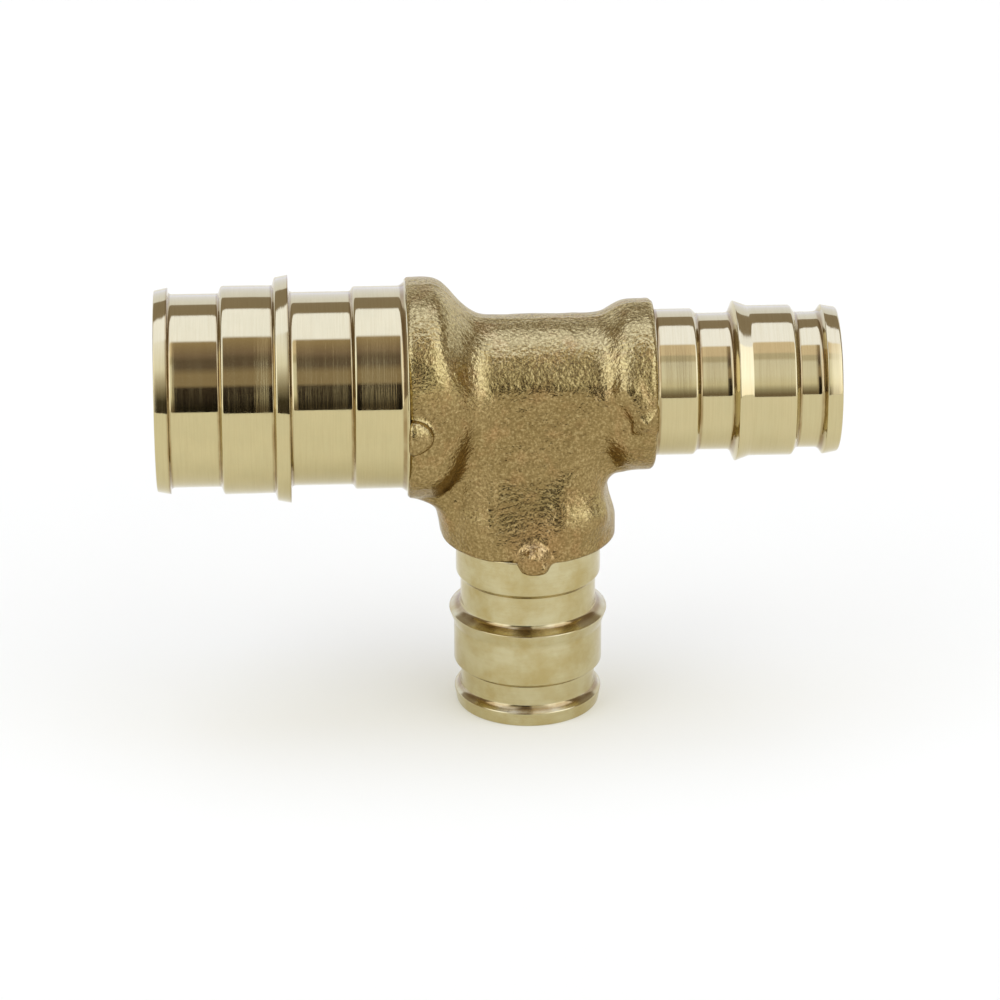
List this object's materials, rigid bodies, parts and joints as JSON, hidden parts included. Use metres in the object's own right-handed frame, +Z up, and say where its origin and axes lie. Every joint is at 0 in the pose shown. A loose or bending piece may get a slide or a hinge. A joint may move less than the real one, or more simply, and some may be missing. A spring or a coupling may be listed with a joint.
{
  "type": "expansion pipe reducing tee",
  "caption": "Cast brass reducing tee with turned, ribbed spigots for expanded plastic pipe; the run's inlet is larger than its outlet and its branch.",
  "frame": {"origin": "where the axes of the run and the branch cross", "axes": "+X along the run towards its small spigot, -Z along the branch, +Z up when the tee stands on the branch's end"},
  "size_m": [0.0664, 0.0226, 0.0448],
  "materials": {
    "cast_brass": "as sand cast, matt and grainy",
    "machined_brass": "turned bright"
  },
  "bodies": {
    "root": {"cast_tee_body": "cast_brass", "large_run_spigot": "machined_brass", "small_run_spigot": "machined_brass", "branch_spigot": "machined_brass"}
  },
  "joints": []
}
